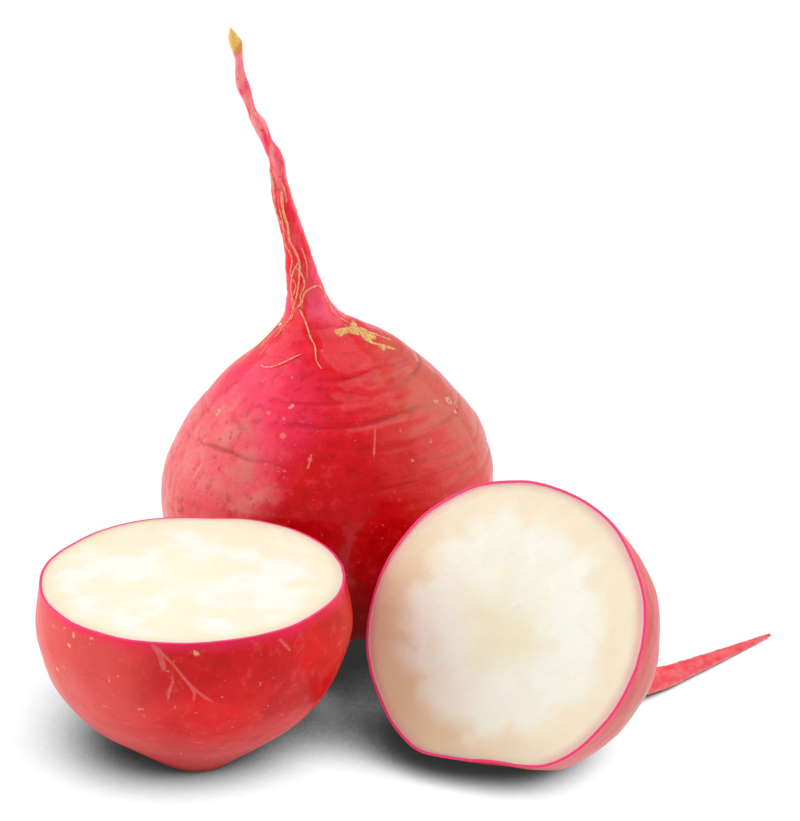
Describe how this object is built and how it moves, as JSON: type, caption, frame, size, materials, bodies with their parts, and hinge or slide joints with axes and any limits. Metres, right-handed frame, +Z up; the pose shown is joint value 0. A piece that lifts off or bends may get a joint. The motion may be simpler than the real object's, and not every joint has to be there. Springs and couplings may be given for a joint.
{
  "type": "bunch of radishes, one whole and one cut in half",
  "caption": "Red garden radishes: a whole round root standing on its trimmed crown, beside another cut across into a crown half and a tail half.",
  "frame": {"origin": "middle of the whole radish's flat foot, on the surface that everything rests on", "axes": "+Z up along the whole radish; the crown half lies towards -X and -Y, the tail half towards +X and -Y, and -Y is the side that the picture was taken from"},
  "size_m": [0.1231, 0.1034, 0.108],
  "materials": {
    "whole_radish_skin": "satin, waxy crimson skin with fine level wrinkles, pink root and tan rootlets",
    "cut_radish_skin": "satin, waxy red skin with pale specks, smooth",
    "cut_radish_flesh": "moist cream flesh with a paler lobed heart"
  },
  "bodies": {
    "root": {"whole_radish": "whole_radish_skin", "crown_half_skin": "cut_radish_skin", "crown_half_flesh": "cut_radish_flesh", "tail_half_skin": "cut_radish_skin", "tail_half_flesh": "cut_radish_flesh"}
  },
  "joints": []
}
